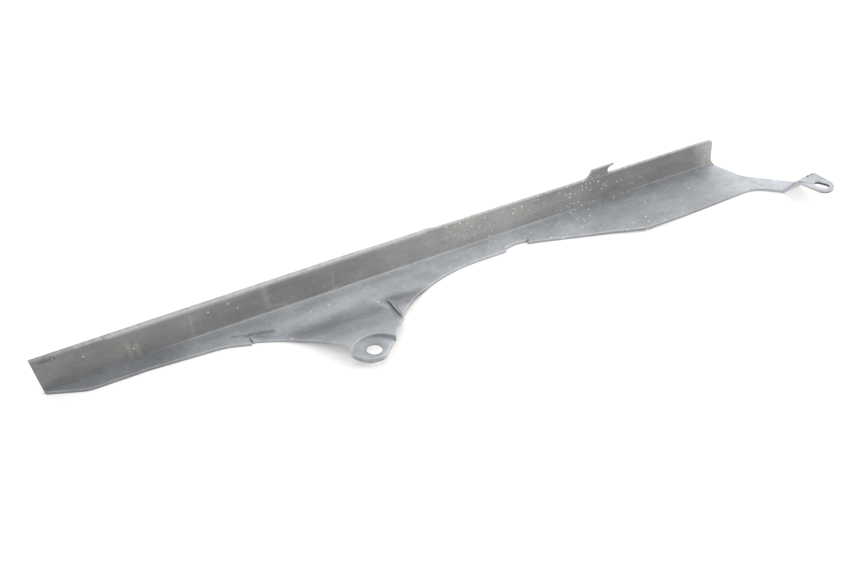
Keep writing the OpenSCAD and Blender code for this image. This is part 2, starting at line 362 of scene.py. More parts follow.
def side_lines():
    """The side wall's free edge and the line that it faces, which runs along the bend and the neck.

    A section is the corners of a stretch of the edge, the X at the bend that its end faces, and its count
    of steps. It starts where the last one ended. The neck's two sides come last.
    """
    tear_y, broken = -REAR_WIDTH - 9, -WAIST_WIDTH + CHIP_DEPTH
    sections = (
        ([(-REAR_FOOT, -3.2, 2), (REAR_TAPER - REAR_FOOT, -REAR_WIDTH, 20), (50, -REAR_WIDTH)], 50, 46),
        ([((TEAR_X - REAR_FOOT) / 2, -REAR_WIDTH, 60), (TEAR_X - 14.6, -REAR_WIDTH - 3.6, 40),
          (TEAR_X, tear_y)], TEAR_X - 2, 80),
        ([(TEAR_X + 0.9, tear_y + TEAR_DEPTH)], TEAR_X + 0.9, 12),
        ([(TEAR_X + 1.5, tear_y + 1)], TEAR_X + 4, 12),
        ([(TEAR_X + 4.5, RIDGE_Y + 0.7), (TEAR_X + 14, RIDGE_Y - 1.8, 10), (160, RIDGE_Y - 2.8, 30),
          (190, RIDGE_Y - 1.0, 60), (SHELF_X, SHELF_BACK)], SHELF_X, 90),
        ([(SHELF_X, SHELF_EDGE)], SHELF_X + 8, 30),
        ([(hollow_corner(), -WAIST_WIDTH, HOLLOW_RADIUS), (CHIP_X, -WAIST_WIDTH)], CHIP_X, 96),
        ([(CHIP_X + 2.7, broken)], CHIP_X + 3, 8),
        ([(CHIP_X + 10, broken + 1.0, 8), (CHIP_X + 18.6, broken + 0.5),
          (CHIP_X + 17.6, -WAIST_WIDTH + 0.1, 0.3), (CHIP_X + CHIP_LENGTH + 7, -WAIST_WIDTH - 1.6, 20),
          (FLAP_CORNER - 23, -FLAP_WIDTH + 9.2, 30), (FLAP_CORNER - 12, -FLAP_WIDTH + 4.6)],
         FLAP_CORNER - 12, 76),
        ([(FLAP_CORNER, -FLAP_WIDTH, 15), (FLAP_CORNER + 31, -FLAP_WIDTH + 0.9, 100),
          (BODY_LENGTH - 4, -FLAP_FRONT_WIDTH - 0.3)], BODY_LENGTH - 0.05, 76),
    )
    neck_steps, half_tab = 84, TAB_WIDTH / 2 - 0.05
    neck_near, neck_far = (tuple(at_fold(u, 0)) + (3,) for u in (-NECK_WIDTH / 2, NECK_WIDTH / 2))
    tab_near, tab_far = (tuple(at_fold(u, TAB_RUN + 0.7)) for u in (-half_tab, half_tab))
    neck_edge = [(BODY_LENGTH + 9, -FLAP_FRONT_WIDTH, 22), neck_near, tab_near]
    neck_back = [(BODY_LENGTH + 0.6, -0.8, 1), (BODY_LENGTH + 2, -4, 12), (BODY_LENGTH + 10, -23, 15),
                 neck_far, tab_far]
    near = chain((-REAR_FOOT + 0.05, -1.0),
                 [(corners, count) for corners, _, count in sections] + [(neck_edge, neck_steps)])
    far = chain((-REAR_FOOT + 0.05, BEND_Y),
                [([(x, BEND_Y)], count) for _, x, count in sections] + [(neck_back, neck_steps)])
    return near, far


def side_wall():
    """Side wall, neck and folded strip: straight rows between the bend and the free edge."""
    near, far = side_lines()
    out, back = inward(near), -inward(far)
    x = near[:, 0]
    chipped = smooth(x, CHIP_X - 1, CHIP_X + 1.5) * (1 - smooth(x, CHIP_X + 10, CHIP_X + 16))
    slant = out * 1.1 * chipped[:, None]
    in_tear = smooth(x, TEAR_X - 0.3, TEAR_X) * (1 - smooth(x, TEAR_X + 1.6, TEAR_X + 1.9))
    under_ramp = smooth(x, TEAR_X + 3.5, TEAR_X + 5) * (x < SHELF_X - 0.3)
    round_top = EDGE_ROUND - 0.4 * in_tear - 0.5 * under_ramp
    round_foot = FOOT_ROUND - 0.2 * in_tear
    top_plan = ruled(far + back * EDGE_ROUND, near + slant + out * round_top[:, None])
    foot_plan = ruled(far + back * FOOT_ROUND, near + out * round_foot[:, None])

    def upper(plan):
        x, y = plan[..., 0], plan[..., 1]
        return side_height(x, y) + fold_height(x, y, -0.8)

    def lower(plan):
        x, y = plan[..., 0], plan[..., 1]
        return lift(x, y) + fold_height(x, y, 0.3) + shelf_hollow(x, y)

    rim = rim_rows(near, out, upper(near), lower(near), round_top, round_foot)
    rim[:, :5, :2] += slant[:, None] * np.linspace(1, 0.25, 5)[None, :, None]
    back_rim = rim_rows(far, back, upper(far), lower(far))[:, ::-1]
    points, faces, rubbed = slab(with_height(top_plan, upper(top_plan)),
                                 with_height(foot_plan, lower(foot_plan)), rim, back_rim)
    return points, faces, (rubbed.reshape(len(near), -1) * (1 - under_ramp)[:, None]).ravel()


def top_wall():
    """Top wall: one closed profile carried along the bend, its height and lip varying on the way.

    The profile runs from the fillet up the chain side, over the lip and down the back to the bend. Its
    front corner drops by a quarter round, and its rear end leans back by the rake.
    """
    corner = 3.0
    raked = 30.0
    x = np.concatenate([
        np.linspace(0, raked, 26), np.linspace(raked + 2, LIP_END - 0.1, 120),
        np.linspace(LIP_END + 0.1, LIP_END + 1.5, 5), np.linspace(LIP_END + 4, BODY_LENGTH - 4, 110),
        BODY_LENGTH - corner + corner * np.sin(np.linspace(0, math.pi / 2, 12)),
    ])
    one = np.ones_like(x)
    height = STEP_HEIGHT + (FRONT_HEIGHT - STEP_HEIGHT) * (x - LIP_END) / (BODY_LENGTH - LIP_END)
    height = np.where(x < LIP_END, REAR_HEIGHT, height)
    height += np.sqrt(np.maximum(corner**2 - np.maximum(x - (BODY_LENGTH - corner), 0) ** 2, 0)) - corner
    lip = np.where(x < LIP_END, LIP_THICK - 0.7 * smooth(x, 205, 230), TOP_THICK)
    lip_depth = np.where(x < LIP_END, LIP_DEPTH, 1.0)
    fillet = 0.8 + 2.6 * smooth(x, BODY_LENGTH - 120, BODY_LENGTH)
    flare = 1.4 * smooth(x, BODY_LENGTH - 14, BODY_LENGTH)
    edge = 0.5
    rows, rubbed, bend_light_and_shade = [], [], []

    def row(y, z, rub=0.0, bend=0.0):
        rows.append(np.stack([x, y * one, z * one], 1))
        rubbed.append(rub * one)
        bend_light_and_shade.append(bend * one)

    # the fillet's rows carry the bend line for painted light and shade
    for left, gone in quarter_round(6):
        row(-fillet * left, SIDE_THICK - 0.02 + fillet * gone, 0, 0 < gone < 0.99)
    for t in np.linspace(0.1, 0.96, 10):
        row(0, SIDE_THICK + fillet + (height - edge - SIDE_THICK - fillet) * t)
    for left, gone in quarter_round(6):
        row(edge * gone, height - edge * left, 1)
    for left, gone in quarter_round(6):
        row(lip - edge * left, height - edge * gone, 1)
    row(lip, height - lip_depth * 0.6, 0.5)
    row(TOP_THICK + (lip - TOP_THICK) * 0.05, height - lip_depth)
    for t in np.linspace(0.1, 1, 7):
        row(TOP_THICK, height - lip_depth + (OUTER_RADIUS - height + lip_depth) * t)
    for a in np.linspace(0.1, 1, 8) * math.pi / 2:
        row(TOP_THICK - OUTER_RADIUS * (1 - math.cos(a)), OUTER_RADIUS * (1 - math.sin(a)))
    row(-2.6, 0.01)
    row(-fillet - 1.2, 1.2)
    row(-fillet - 0.4, SIDE_THICK - 0.1)
    rings = np.stack(rows, 1)
    lean = (-REAR_FOOT - REAR_RAKE * rings[..., 2] / REAR_HEIGHT) * (1 - rings[..., 0] / raked).clip(0, 1)
    foot = np.clip(1 - (rings[..., 2] - SIDE_THICK) / 5, 0, 1) ** 2 * flare[:, None]
    rings[..., 0] += lean + foot * (rings[..., 2] > 1.5)
    stations, ring = rings.shape[:2]
    faces = sweep_faces(stations, ring, False).tolist()
    faces.append(list(range(ring)))
    faces.append([ring * (stations - 1) + j for j in range(ring)][::-1])
    return rings.reshape(-1, 3), faces, np.stack(rubbed, 1).ravel(), np.stack(bend_light_and_shade, 1).ravel()


def coons(left, right, outer, inner):
    """Plan grid filled between four lines: the two ruled grids less the bilinear one.

    left and right run from outer to inner, outer and inner run from left to right.
    """
    a = np.linspace(0, 1, len(outer))[:, None, None]
    b = np.linspace(0, 1, len(left))[None, :, None]
    across = outer[:, None] * (1 - b) + inner[:, None] * b
    along = left[None] * (1 - a) + right[None] * a
    corners = (outer[0] * (1 - a) + outer[-1] * a) * (1 - b) + (inner[0] * (1 - a) + inner[-1] * a) * b
    return across + along - corners


def pad_side():
    """Plan line of the ear's free edge, from the left end of the crest round the pad to the right."""
    return [
        (BOSS_X - 14.9, BOSS_Y + 17), (BOSS_X - 14.3, BOSS_Y + 7.5, 7), (BOSS_X - 8.2, BOSS_Y - 0.6, 8),
        (BOSS_X + 2.4, BOSS_Y - 2.1, 8), (BOSS_X + 13.6, BOSS_Y + 8.6, 10), (BOSS_X + 19, BOSS_Y + 14.8),
    ]


def ramp_plan():
    """Plan grid of the ear's ramp and crest: four lines from the ridge to the seat, filled in between."""
    boss = np.array([BOSS_X, BOSS_Y])
    along = np.concatenate([np.linspace(0, 0.86, 52), np.linspace(0.86, 1, 23)[1:]])
    fine = 400
    at = (along * (fine - 1)).astype(int)
    left = spread(rounded([
        (TEAR_X + 2.0, -REAR_WIDTH - 7.4), (TEAR_X + 3.4, -REAR_WIDTH - 7.8),
        (TEAR_X + 19.4, BOSS_Y + 48.6, 40), (BOSS_X - 28.5, BOSS_Y + 36.5, 50),
        (BOSS_X - 14.9, BOSS_Y + 17, 1.5), (BOSS_X - 14.4, BOSS_Y + 9.6)]), fine)[at]
    right = spread(rounded([
        (SHELF_X + 0.4, RIDGE_Y + 4.2), (SHELF_X + 0.4, SHELF_EDGE - 1.8, 1.5),
        (SHELF_X - 3.6, SHELF_EDGE - 6.4, 5), (BOSS_X + 19, BOSS_Y + 14.8, 3),
        (BOSS_X + 15.4, BOSS_Y + 8.6)]), fine)[at]
    outer = spread(np.array([left[0], (TEAR_X + 8, RIDGE_Y + 0.5), (TEAR_X + 40, RIDGE_Y + 4.4), right[0]]),
                   RAMP_COLUMNS)
    start, end = (math.atan2(*(line[-1] - boss)[::-1]) for line in (left, right))
    reach = np.linspace(*(np.linalg.norm(line[-1] - boss) for line in (left, right)), RAMP_COLUMNS)
    on_seat = np.sin(np.pi * np.linspace(0, 1, RAMP_COLUMNS)) ** 0.15
    reach = SEAT_RADIUS * on_seat + reach * (1 - on_seat)
    angle = np.linspace(start, end, RAMP_COLUMNS)
    inner = boss + reach[:, None] * directions(angle)
    return coons(left, right, outer, inner)


def ear_ramp():
    """The ear's ramp and crest, a four-sided patch from the ridge to the wall round the seat.

    Rows at the margins lie close together, where the patch rounds over to its two free edges.
    """
    plan = ramp_plan()
    margin = np.array([0, 0.04, 0.14, 0.3, 0.5, 1.2])
    keep = plan[4:-4]

    def margin_rows(line, kept):
        """Rows at the margin's distances from the line towards the kept row, at most nine tenths there."""
        way = kept - line
        share = np.minimum(margin[:, None] / np.linalg.norm(way, axis=1), 0.9 * margin[:, None] / margin[-1])
        return line + way * share[..., None]

    plan = np.concatenate([margin_rows(plan[0], keep[0]), keep, margin_rows(plan[-1], keep[-1])[::-1]])
    drop = 0.5 - np.sqrt(0.25 - np.maximum(0.5 - margin, 0) ** 2)
    fall = np.concatenate([drop, np.zeros(len(keep)), drop[::-1]])[:, None]
    height = ramp_height(plan[..., 0], plan[..., 1])
    upper = height - fall
    lower = np.minimum(np.maximum(height - SIDE_THICK - 0.2, 0.02) + fall * 0.4, upper - 0.2)
    seat_round = 0.45
    near, out = plan[:, -1], inward(plan[:, -1])
    rim = rim_rows(near, out, upper[:, -1], np.full(len(near), SEAT_HEIGHT - 2.0), seat_round, 0.1)
    top = with_height(plan, upper)
    top[:, -1, :2] += out * seat_round
    far_rim = rim_rows(plan[:, 0], -inward(plan[:, 0]), upper[:, 0], lower[:, 0], 0.2, 0.1)[:, ::-1]
    points, faces, rubbed = slab(top, with_height(plan, lower), rim, far_rim)
    rubbed = rubbed.reshape(len(plan), -1)
    rubbed[:, 0] = rubbed[:, -3:] = 0
    rubbed[:, RAMP_COLUMNS - 1:RAMP_COLUMNS + 3] *= 0.3
    rubbed[:4, :RAMP_COLUMNS] = rubbed[-4:, :RAMP_COLUMNS] = 1
    under = slice(RAMP_COLUMNS + 10, 2 * RAMP_COLUMNS + 10)
    rubbed[0, under] = rubbed[-1, under] = -1
    return points, faces, rubbed.ravel()


class Rings:
    """Rings of plan points, each at one height, for a shell round a hole.

    free is how far each point of a ring can take edge wear and painted light, from 0 to 1.
    """

    def __init__(self, free):
        self.rows, self.rubbed, self.free = [], [], free

    def add(self, plan, z, rub=0.0):
        """Adds a ring of plan points at a height."""
        self.rows.append(np.column_stack([plan, np.full(len(plan), z)]))
        self.rubbed.append(rub * self.free)

    def add_plate(self, loop, out, steps, top, foot):
        """Adds rings from the last one over a flat face to a loop, over its edge and round its foot.

        out points into the loop. top and foot are a height and a rounding each.
        """
        (z, edge_round), (foot_z, foot_round) = top, foot
        inner = self.rows[-1][:, :2]
        for t in steps:
            self.add(inner * (1 - t) + (loop + out * edge_round) * t, z, t == 1)
        for left, gone in quarter_round(6)[1:]:
            self.add(loop + out * edge_round * left, z - edge_round * gone, gone < 0.5)
        for left, gone in quarter_round(5)[::-1]:
            self.add(loop + out * foot_round * left, foot_z + foot_round * gone, -1)

    def shell(self):
        """The closed shell through all rings: points, faces and each point's wear and painted light."""
        rings = np.stack(self.rows, 1)
        faces = sweep_faces(*rings.shape[:2], True).tolist()
        return rings.reshape(-1, 3), faces, np.stack(self.rubbed, 1).ravel()


def ear_pad():
    """The ear's seat: rings round the hole, from its wall over the dish to the pad's edge and below."""
    centre, boss = np.array([EAR_X, EAR_Y]), np.array([BOSS_X, BOSS_Y])
    edge = rounded(pad_side())
    edge = edge[np.linalg.norm(edge - boss, axis=1) < SEAT_RADIUS + 0.9]
    start, end = (math.atan2(*(point - boss)[::-1]) for point in (edge[-1], edge[0]))
    angle = np.linspace(start, end, 60)[1:-1]
    arc = boss + (SEAT_RADIUS + 0.7) * directions(angle)
    loop = spread(np.concatenate([edge, arc, edge[:1]]), 181)[:-1]
    away = loop - centre
    away /= np.linalg.norm(away, axis=1)[:, None]
    out = inward(loop, closed=True)
    rings = Rings(smooth(np.linalg.norm(loop - boss, axis=1), SEAT_RADIUS + 0.6, SEAT_RADIUS + 0.3))
    dish = SEAT_HEIGHT - DISH_DEPTH
    under = SEAT_HEIGHT - SEAT_THICK
    dish_profile = (
        (HOLE_RADIUS, dish - 0.9), (HOLE_RADIUS, dish - 0.25), (HOLE_RADIUS + 0.08, dish - 0.08),
        (HOLE_RADIUS + 0.3, dish + 0.06), (6.2, dish + 0.36), (7.6, dish + 0.86), (8.1, dish + 1.06),
        (DISH_RADIUS, SEAT_HEIGHT - 0.03), (DISH_RADIUS + 0.35, SEAT_HEIGHT),
    )
    for radius, z in dish_profile:
        rings.add(centre + away * radius, z)
    rings.add_plate(loop, out, (0.25, 0.5, 0.75, 0.9, 1), (SEAT_HEIGHT, 0.6), (under, 0.4))
    below, relief = rings.rows[-1][:, :2], centre + away * RELIEF_RADIUS
    for t in (0.4, 0.8, 1):
        rings.add(below * (1 - t) + relief * t, under)
    rings.add(relief, under + RELIEF_DEPTH)
    rings.add(centre + away * HOLE_RADIUS, under + RELIEF_DEPTH)
    return rings.shell()


def slot_line(turns):
    """Plan points of the slot's wall in the given directions from its middle: a stadium."""
    reach = (SLOT_LENGTH - SLOT_WIDTH) / 2
    radius = SLOT_WIDTH / 2
    from_axis = turns - (FOLD_ANGLE - math.pi / 2 + SLOT_TURN)
    along, across = np.abs(np.cos(from_axis)), np.abs(np.sin(from_axis))
    straight = radius / np.maximum(across, 1e-9)
    bow = reach * along + np.sqrt(np.maximum(radius**2 - (reach * across) ** 2, 0))
    length = np.where(along * straight > reach, bow, straight)
    return length[:, None] * directions(turns)


def touch(corner, tip, side):
    """Direction from the tip's middle to where a line from a corner touches the tab's round tip."""
    away = np.subtract(corner, tip)
    return math.atan2(away[1], away[0]) + side * math.acos(TIP_RADIUS / np.linalg.norm(away))


def front_tab():
    """The tab: rings round the slot, from its wall over the flat face to the tab's edge and below."""
    tip = at_fold(TIP_OFFSET, TAB_RUN + TAB_LENGTH - TIP_RADIUS)
    middle = tip - SLOT_SHIFT * FOLD_U - SLOT_SETBACK * FOLD_V
    near_corner, far_corner = at_fold(-TAB_WIDTH / 2, TAB_RUN), at_fold(TAB_WIDTH / 2, TAB_RUN)
    start, end = touch(near_corner, tip, 1), touch(far_corner, tip, -1)
    arc = np.linspace(start, end + (2 * math.pi if end < start else 0), 40)
    nose = tip + TIP_RADIUS * directions(arc)
    corners = [tuple(nose[-1]), tuple(far_corner) + (1.0,), tuple(near_corner) + (0.6,), tuple(nose[0])]
    loop = spread(np.concatenate([nose, rounded(corners)[1:-1], nose[:1]]), 261)[:-1]
    out = inward(loop, closed=True)
    wall = slot_line(np.arctan2(*(loop - middle).T[::-1]))
    reach = np.linalg.norm(wall, axis=1)[:, None]

    def grown(extra):
        """The slot's outline, grown outwards by extra."""
        return middle + wall * (1 + extra / reach)

    rings = Rings(np.ones(len(loop)))
    for extra, z in ((0.35, TAB_RISE), (0.05, TAB_RISE + 0.3), (0, TAB_RISE + 1), (0, TAB_TOP - 0.5),
                     (0.1, TAB_TOP - 0.18), (0.3, TAB_TOP - 0.03), (0.5, TAB_TOP)):
        rings.add(grown(extra), z, -1 if z < TAB_TOP - 0.3 else 0)
    rings.add_plate(loop, out, (0.35, 0.7, 0.88, 1), (TAB_TOP, 0.5), (TAB_RISE, 0.3))
    below = rings.rows[-1][:, :2]
    for t in (0.4, 0.8):
        rings.add(below * (1 - t) + grown(0.35) * t, TAB_RISE)
    return rings.shell()


def broken_skin(u, width, height):
    """A sliver of torn skin that stands up from the tab's folded edge, as a small leaning wedge."""
    base, crown = TAB_TOP - 1.4, TAB_TOP + height
    corners = [(u - width / 2, -0.3, base), (u + width / 2, -0.3, base), (u + width / 2, 0.5, base),
               (u - width / 2, 0.5, base), (u - width / 4, -0.5, crown), (u + width / 3, -0.4, crown - 0.2),
               (u + width / 3, -0.1, crown - 0.2), (u - width / 4, -0.2, crown)]
    points = [tuple(at_fold(a, TAB_RUN + b)) + (c,) for a, b, c in corners]
    faces = [[0, 1, 2, 3], [7, 6, 5, 4], [4, 5, 1, 0], [5, 6, 2, 1], [6, 7, 3, 2], [7, 4, 0, 3]]
    return np.array(points), faces, np.full(8, -1.0)


def edge_hook():
    """The hook: rings across the wall's thickness, round an outline that stands on the top edge.

    They are made lying down, with Z as their second axis, and closed by a cap on each side.
    """
    slope = (FRONT_HEIGHT - STEP_HEIGHT) / (BODY_LENGTH - LIP_END)
    foot = STEP_HEIGHT + slope * (HOOK_X - LIP_END)
    nose = HOOK_X + HOOK_LENGTH
    crown = foot + HOOK_HEIGHT
    mouth = nose - HOOK_MOUTH
    outline = rounded([
        (HOOK_X - 2, foot - 2), (HOOK_X - 2, foot - 0.1), (HOOK_X + 2.6, foot + 0.1, 5),
        (HOOK_X + 5.8, crown, 1.0), (nose, crown, 0.5), (nose, crown - HOOK_NOSE, 0.5),
        (mouth, crown - HOOK_NOSE - 0.3, 2.4), (mouth, foot - 0.4, 2.2), (mouth + 3.5, foot - 0.6),
        (mouth + 3.5, foot - 2)])
    loop = spread(np.concatenate([outline, outline[:1]]), 201)[:-1]
    into = -inward(loop, closed=True)
    past_mouth = (loop[:, 0] > mouth - 2) & (loop[:, 1] > foot - 0.3)
    core_z = np.where(past_mouth, np.clip(loop[:, 1], foot - 1.2, crown - 1.2), foot - 1.2)
    core = np.stack([np.minimum(loop[:, 0], mouth - 2), core_z], 1)
    front, soft = 0.004, 0.4
    rings = Rings(np.ones(len(loop)))
    for t in (0.02, 0.5, 1):
        rings.add(core * (1 - t) + (loop + into * soft) * t, front)
    for left, gone in quarter_round(5)[1:]:
        rings.add(loop + into * soft * left, front + soft * gone, 1)
    for left, gone in quarter_round(5)[::-1]:
        rings.add(loop + into * soft * left, TOP_THICK - soft * gone, gone > 0)
    for t in (0.5, 0.02):
        rings.add(core * (1 - t) + (loop + into * soft) * t, TOP_THICK)
    points, faces, rubbed = rings.shell()
    count = len(rings.rows)
    faces = [face for face in faces if face[0] % count != count - 1]
    front_cap = [i * count for i in range(len(loop))]
    faces += [front_cap[::-1], [k + count - 1 for k in front_cap]]
    return points[:, [0, 2, 1]], faces, rubbed


def in_scene(name, data):
    """A new object in the scene, made from its data."""
    thing = bpy.data.objects.new(name, data)
    bpy.context.scene.collection.objects.link(thing)
    return thing


def make_piece(name, shells, material):
    """One mesh object from several closed shells, smooth except at its sharp edges.

    Each shell brings its points, its faces, each point's edge wear and painted light, and, where it has
    one, its bend line for painted light and shade.
    """
    points, faces, start = [], [], 0
    for shell in shells:
        points.append(shell[0])
        faces += [[start + k for k in face] for face in shell[1]]
        start += len(shell[0])
    mesh = bpy.data.meshes.new(name)
    mesh.from_pydata(place(np.concatenate(points)).tolist(), [], faces)
    mesh.materials.append(material)
    marks = {"rubbed": [shell[2] for shell in shells],
             "bend_light_and_shade": [shell[3] if len(shell) > 3 else np.zeros(len(shell[0])) for shell in shells]}
    for label, values in marks.items():
        mark = mesh.attributes.new(label, "FLOAT", "POINT")
        mark.data.foreach_set("value", np.concatenate(values).astype(np.float32))
    mesh.shade_smooth()
    mesh.set_sharp_from_angle(angle=math.radians(38))
    return in_scene(name, mesh)


# Smears wiped down the top wall of the unrolled guard: the two ends and the width of each
SMEARS = (
    ((53.4, -15.0), (57.0, -1.0), 2.6),
    ((59.4, -12.5), (62.0, -0.5), 2.6),
    ((96.0, -20.0), (97.0, -5.0), 1.2),
    ((146.4, -22.5), (148.6, -8.5), 3.6),
    ((149.0, -7.5), (157.0, -6.0), 2.4),
    ((160.5, -8.0), (161.0, -3.0), 1.6),
    ((194.6, -15.0), (195.6, -2.0), 1.6),
    ((193.0, -3.5), (199.0, -4.5), 2.4),
)

# Scratches on the unrolled guard: the two ends of each
SCRATCHES = (
    ((414.4, 6.7), (421.0, 6.0)),
    ((404.5, 28.6), (405.5, 31.6)),
    ((426.1, 13.2), (425.1, 16.9)),
    ((434.5, 12.1), (434.1, 15.6)),
    ((400.8, -14.5), (404.9, -16.7)),
    ((400.0, -11.4), (401.0, -12.2)),
)

# Painted shade on the unrolled guard, over the ear's ramp and crest, on the shelf and along the bend, the
# last two along the crack: the ends, width, softness and darkness of each
PAINTED_SHADE = (
    ((160, 32), (207, 37), 26, 8, 0.27),
    ((158, 27), (209, 28.5), 11, 5, 0.34),
    ((182, 46), (208, 48), 20, 12, 0.25),
    ((184, 21.5), (207, 18.5), 5, 5, 0.16),
    ((196, 38), (204, 36), 10, 6, 0.14),
    ((233, 15), (256, 15), 8, 7, 0.17),
    ((135, 17), (152, 25), 6, 4, 0.2),
    ((100, 3.2), (250, 3.2), 3.5, 2.5, 0.1),
    ((176, 60), (186, 72), 7, 5, 0.2),
    ((225, 27), (243, 30), 12.5, 8, 0.6),
    ((118, 8.2), (130, 12.2), 1.0, 0.9, 0.5),
    ((130, 12.2), (143, 15.4), 2.2, 2.0, 0.42),
)

# Painted shade with clean edges, in the same measures: in the step's corner, in the ear's dish and along
# the neck's fold
CORNERS = (
    ((219.8, 27.0), (220.4, 41), 1.4, 0.8, 0.3),
    ((EAR_X, -EAR_Y - SEAT_HEIGHT), (EAR_X + 0.1, -EAR_Y - SEAT_HEIGHT), 15, 2.5, 0.2),
    ((498.6, 17.4), (509.1, 42.2), 0.5, 0.5, 0.25),
)

# Greys along the guard, as shares of TONE_LENGTH: the side wall, the top wall, and how dark the painted
# shade on cut edges is. The side and top greys are the plastic's tone with painted light and shade that
# change along the guard, the top wall mostly darker than the side wall
TONE_LENGTH = 560.0
SIDE_TONES_AND_LIGHT = (
    (0.0, 0.185), (0.14, 0.195), (0.17, 0.29), (0.24, 0.34), (0.31, 0.395), (0.38, 0.455), (0.45, 0.405),
    (0.5, 0.42), (0.625, 0.37), (0.69, 0.285), (0.82, 0.265), (0.85, 0.29), (0.885, 0.44), (0.93, 0.49),
    (0.95, 0.41), (0.98, 0.32),
)
TOP_TONES_AND_LIGHT = (
    (0.0, 0.168), (0.1, 0.178), (0.2, 0.2), (0.31, 0.22), (0.38, 0.26), (0.46, 0.27), (0.54, 0.32),
    (0.625, 0.255), (0.71, 0.216), (0.8, 0.21), (0.85, 0.21), (0.875, 0.36),
)
CUT_SHADES = ((0.1, 0.1), (0.42, 0.3), (0.5, 0.14), (0.932, 0.14), (0.942, 0.9))


class Nodes:
    """Short ways to add shader nodes to one tree; values are numbers, tuples or other nodes' outputs."""

    def __init__(self, tree):
        self.tree = tree

    def add(self, kind, values=(), **settings):
        """A new node of a kind, with its inputs and its settings."""
        node = self.tree.nodes.new("ShaderNode" + kind)
        for key, value in settings.items():
            setattr(node, key, value)
        self.feed(node, values)
        return node

    def feed(self, node, values):
        """Sets inputs of a node to values, or links them to outputs."""
        for key, value in dict(values).items():
            if isinstance(value, bpy.types.NodeSocket):
                self.tree.links.new(value, node.inputs[key])
            else:
                node.inputs[key].default_value = value

    def calc(self, operation, *values):
        """The result of one sum with numbers."""
        return self.add("Math", enumerate(values), operation=operation).outputs[0]

    def times(self, *factors):
        """The product of numbers."""
        product = factors[0]
        for factor in factors[1:]:
            product = self.calc("MULTIPLY", product, factor)
        return product

    def vector(self, operation, output, values):
        """The result of one sum with vectors, from the output of that name."""
        return self.add("VectorMath", values, operation=operation).outputs[output]

    def span(self, value, start, end, low_value=0.0, high_value=1.0):
        """Soft step from low_value at start to high_value at end."""
        return self.add("MapRange", {0: value, 1: start, 2: end, 3: low_value, 4: high_value},
                        interpolation_type="SMOOTHSTEP").outputs[0]

    def blend(self, share, first, second, mode="MIX"):
        """The first colour with a share of the second one."""
        return self.add("Mix", {0: share, 6: first, 7: second}, data_type="RGBA",
                        blend_type=mode).outputs[2]

    def scaled(self, colour, factor):
        """A colour multiplied by another one."""
        return self.blend(1.0, colour, factor, "MULTIPLY")

    def tinted(self, colour, mark, amount, tone):
        """A colour turned towards a tone by an amount, where the mark is."""
        return self.blend(self.times(mark, amount), colour, (*tone, 1))

    def shaded(self, colour, where, start, end, width, soft, amount):
        """A colour darkened by an amount along a stroke."""
        return self.tinted(colour, self.stroke(where, start, end, width, soft), amount, (0, 0, 0))

    def stops(self, value, places):
        """Greys at stops along a value."""
        node = self.add("ValToRGB", {0: value})
        band = node.color_ramp
        while len(band.elements) < len(places):
            band.elements.new(0.5)
        for element, (position, grey) in zip(band.elements, places):
            element.position = position
            element.color = (grey, grey, grey, 1)
        return node.outputs[0]

    def stroke(self, where, start, end, width, soft):
        """1 along a straight stroke from start to end, fading to 0 over soft on each side of its width."""
        way = np.subtract(end, start)
        offset = self.vector("SUBTRACT", "Vector", {0: where, 1: (*start, 0)})
        gone = self.vector("DOT_PRODUCT", "Value", {0: offset, 1: (*(way / (way @ way)), 0)})
        gone = self.add("Clamp", {0: gone}).outputs[0]
        nearest = self.vector("SCALE", "Vector", {0: (*way, 0), 3: gone})
        away = self.vector("DISTANCE", "Value", {0: offset, 1: nearest})
        return self.span(away, width / 2 + soft, max(width / 2 - soft, 0))

    def noise(self, where, scale, detail=3.0, roughness=0.55, stretch=(1, 1, 1)):
        """Soft noise, mostly between 0.3 and 0.7."""
        spot = self.vector("MULTIPLY", "Vector", {0: where, 1: stretch})
        return self.add("TexNoise", {"Vector": spot, "Scale": scale, "Detail": detail,
                                     "Roughness": roughness}).outputs[0]


class Skin(Nodes):
    """The guard's nodes, and where a shaded point lies: in the guard's measure and on the guard unrolled.

    Unrolled, Y is the way from the bend: down the side wall, or below zero up the top wall. The ragged
    one wanders, so that strokes get uneven edges. wall is 1 on the top wall and 0 on the side wall.
    """

    def __init__(self, tree):
        super().__init__(tree)
        spot = self.add("TexCoord").outputs["Object"]
        self.at = self.vector("MULTIPLY_ADD", "Vector", {0: spot, 1: (1000, 1000, 1000), 2: tuple(-ORIGIN)})
        self.x, self.y, self.z = self.add("SeparateXYZ", {0: self.at}).outputs
        self.along = self.calc("DIVIDE", self.x, TONE_LENGTH)
        self.wall = self.times(self.span(self.z, 2.5, 4.0), self.span(self.y, -1.6, -0.5))
        from_bend = self.times(self.calc("ADD", self.y, self.z), -1.0)
        self.unrolled = self.add("CombineXYZ", {0: self.x, 1: from_bend}).outputs[0]
        wander = self.times(self.calc("SUBTRACT", self.noise(self.at, 0.45, 3.0, 0.7), 0.5), 3.0)
        aside = self.add("CombineXYZ", {1: wander}).outputs[0]
        self.ragged = self.vector("ADD", "Vector", {0: self.unrolled, 1: aside})


def tones_and_painted_light(skin):
    """The plastic's colour on the side wall and on the top wall, darkest at the rear, with painted light and
    shade: greys that change along the guard, the top wall mostly darker than the side wall, and the top
    wall lighter near its foot and darker towards its top.
    """
    # painted light and shade: greys that change along the guard, and a darker top wall
    side = skin.scaled(skin.stops(skin.along, SIDE_TONES_AND_LIGHT), (0.95, 1.0, 1.07, 1))
    top = skin.scaled(skin.stops(skin.along, TOP_TONES_AND_LIGHT), (1.0, 1.0, 0.98, 1))
    upwards = skin.calc("DIVIDE", skin.z, 25.0)
    top = skin.scaled(top, skin.stops(upwards, ((0.15, 1.08), (0.8, 0.93))))
    return skin.blend(skin.wall, side, top)


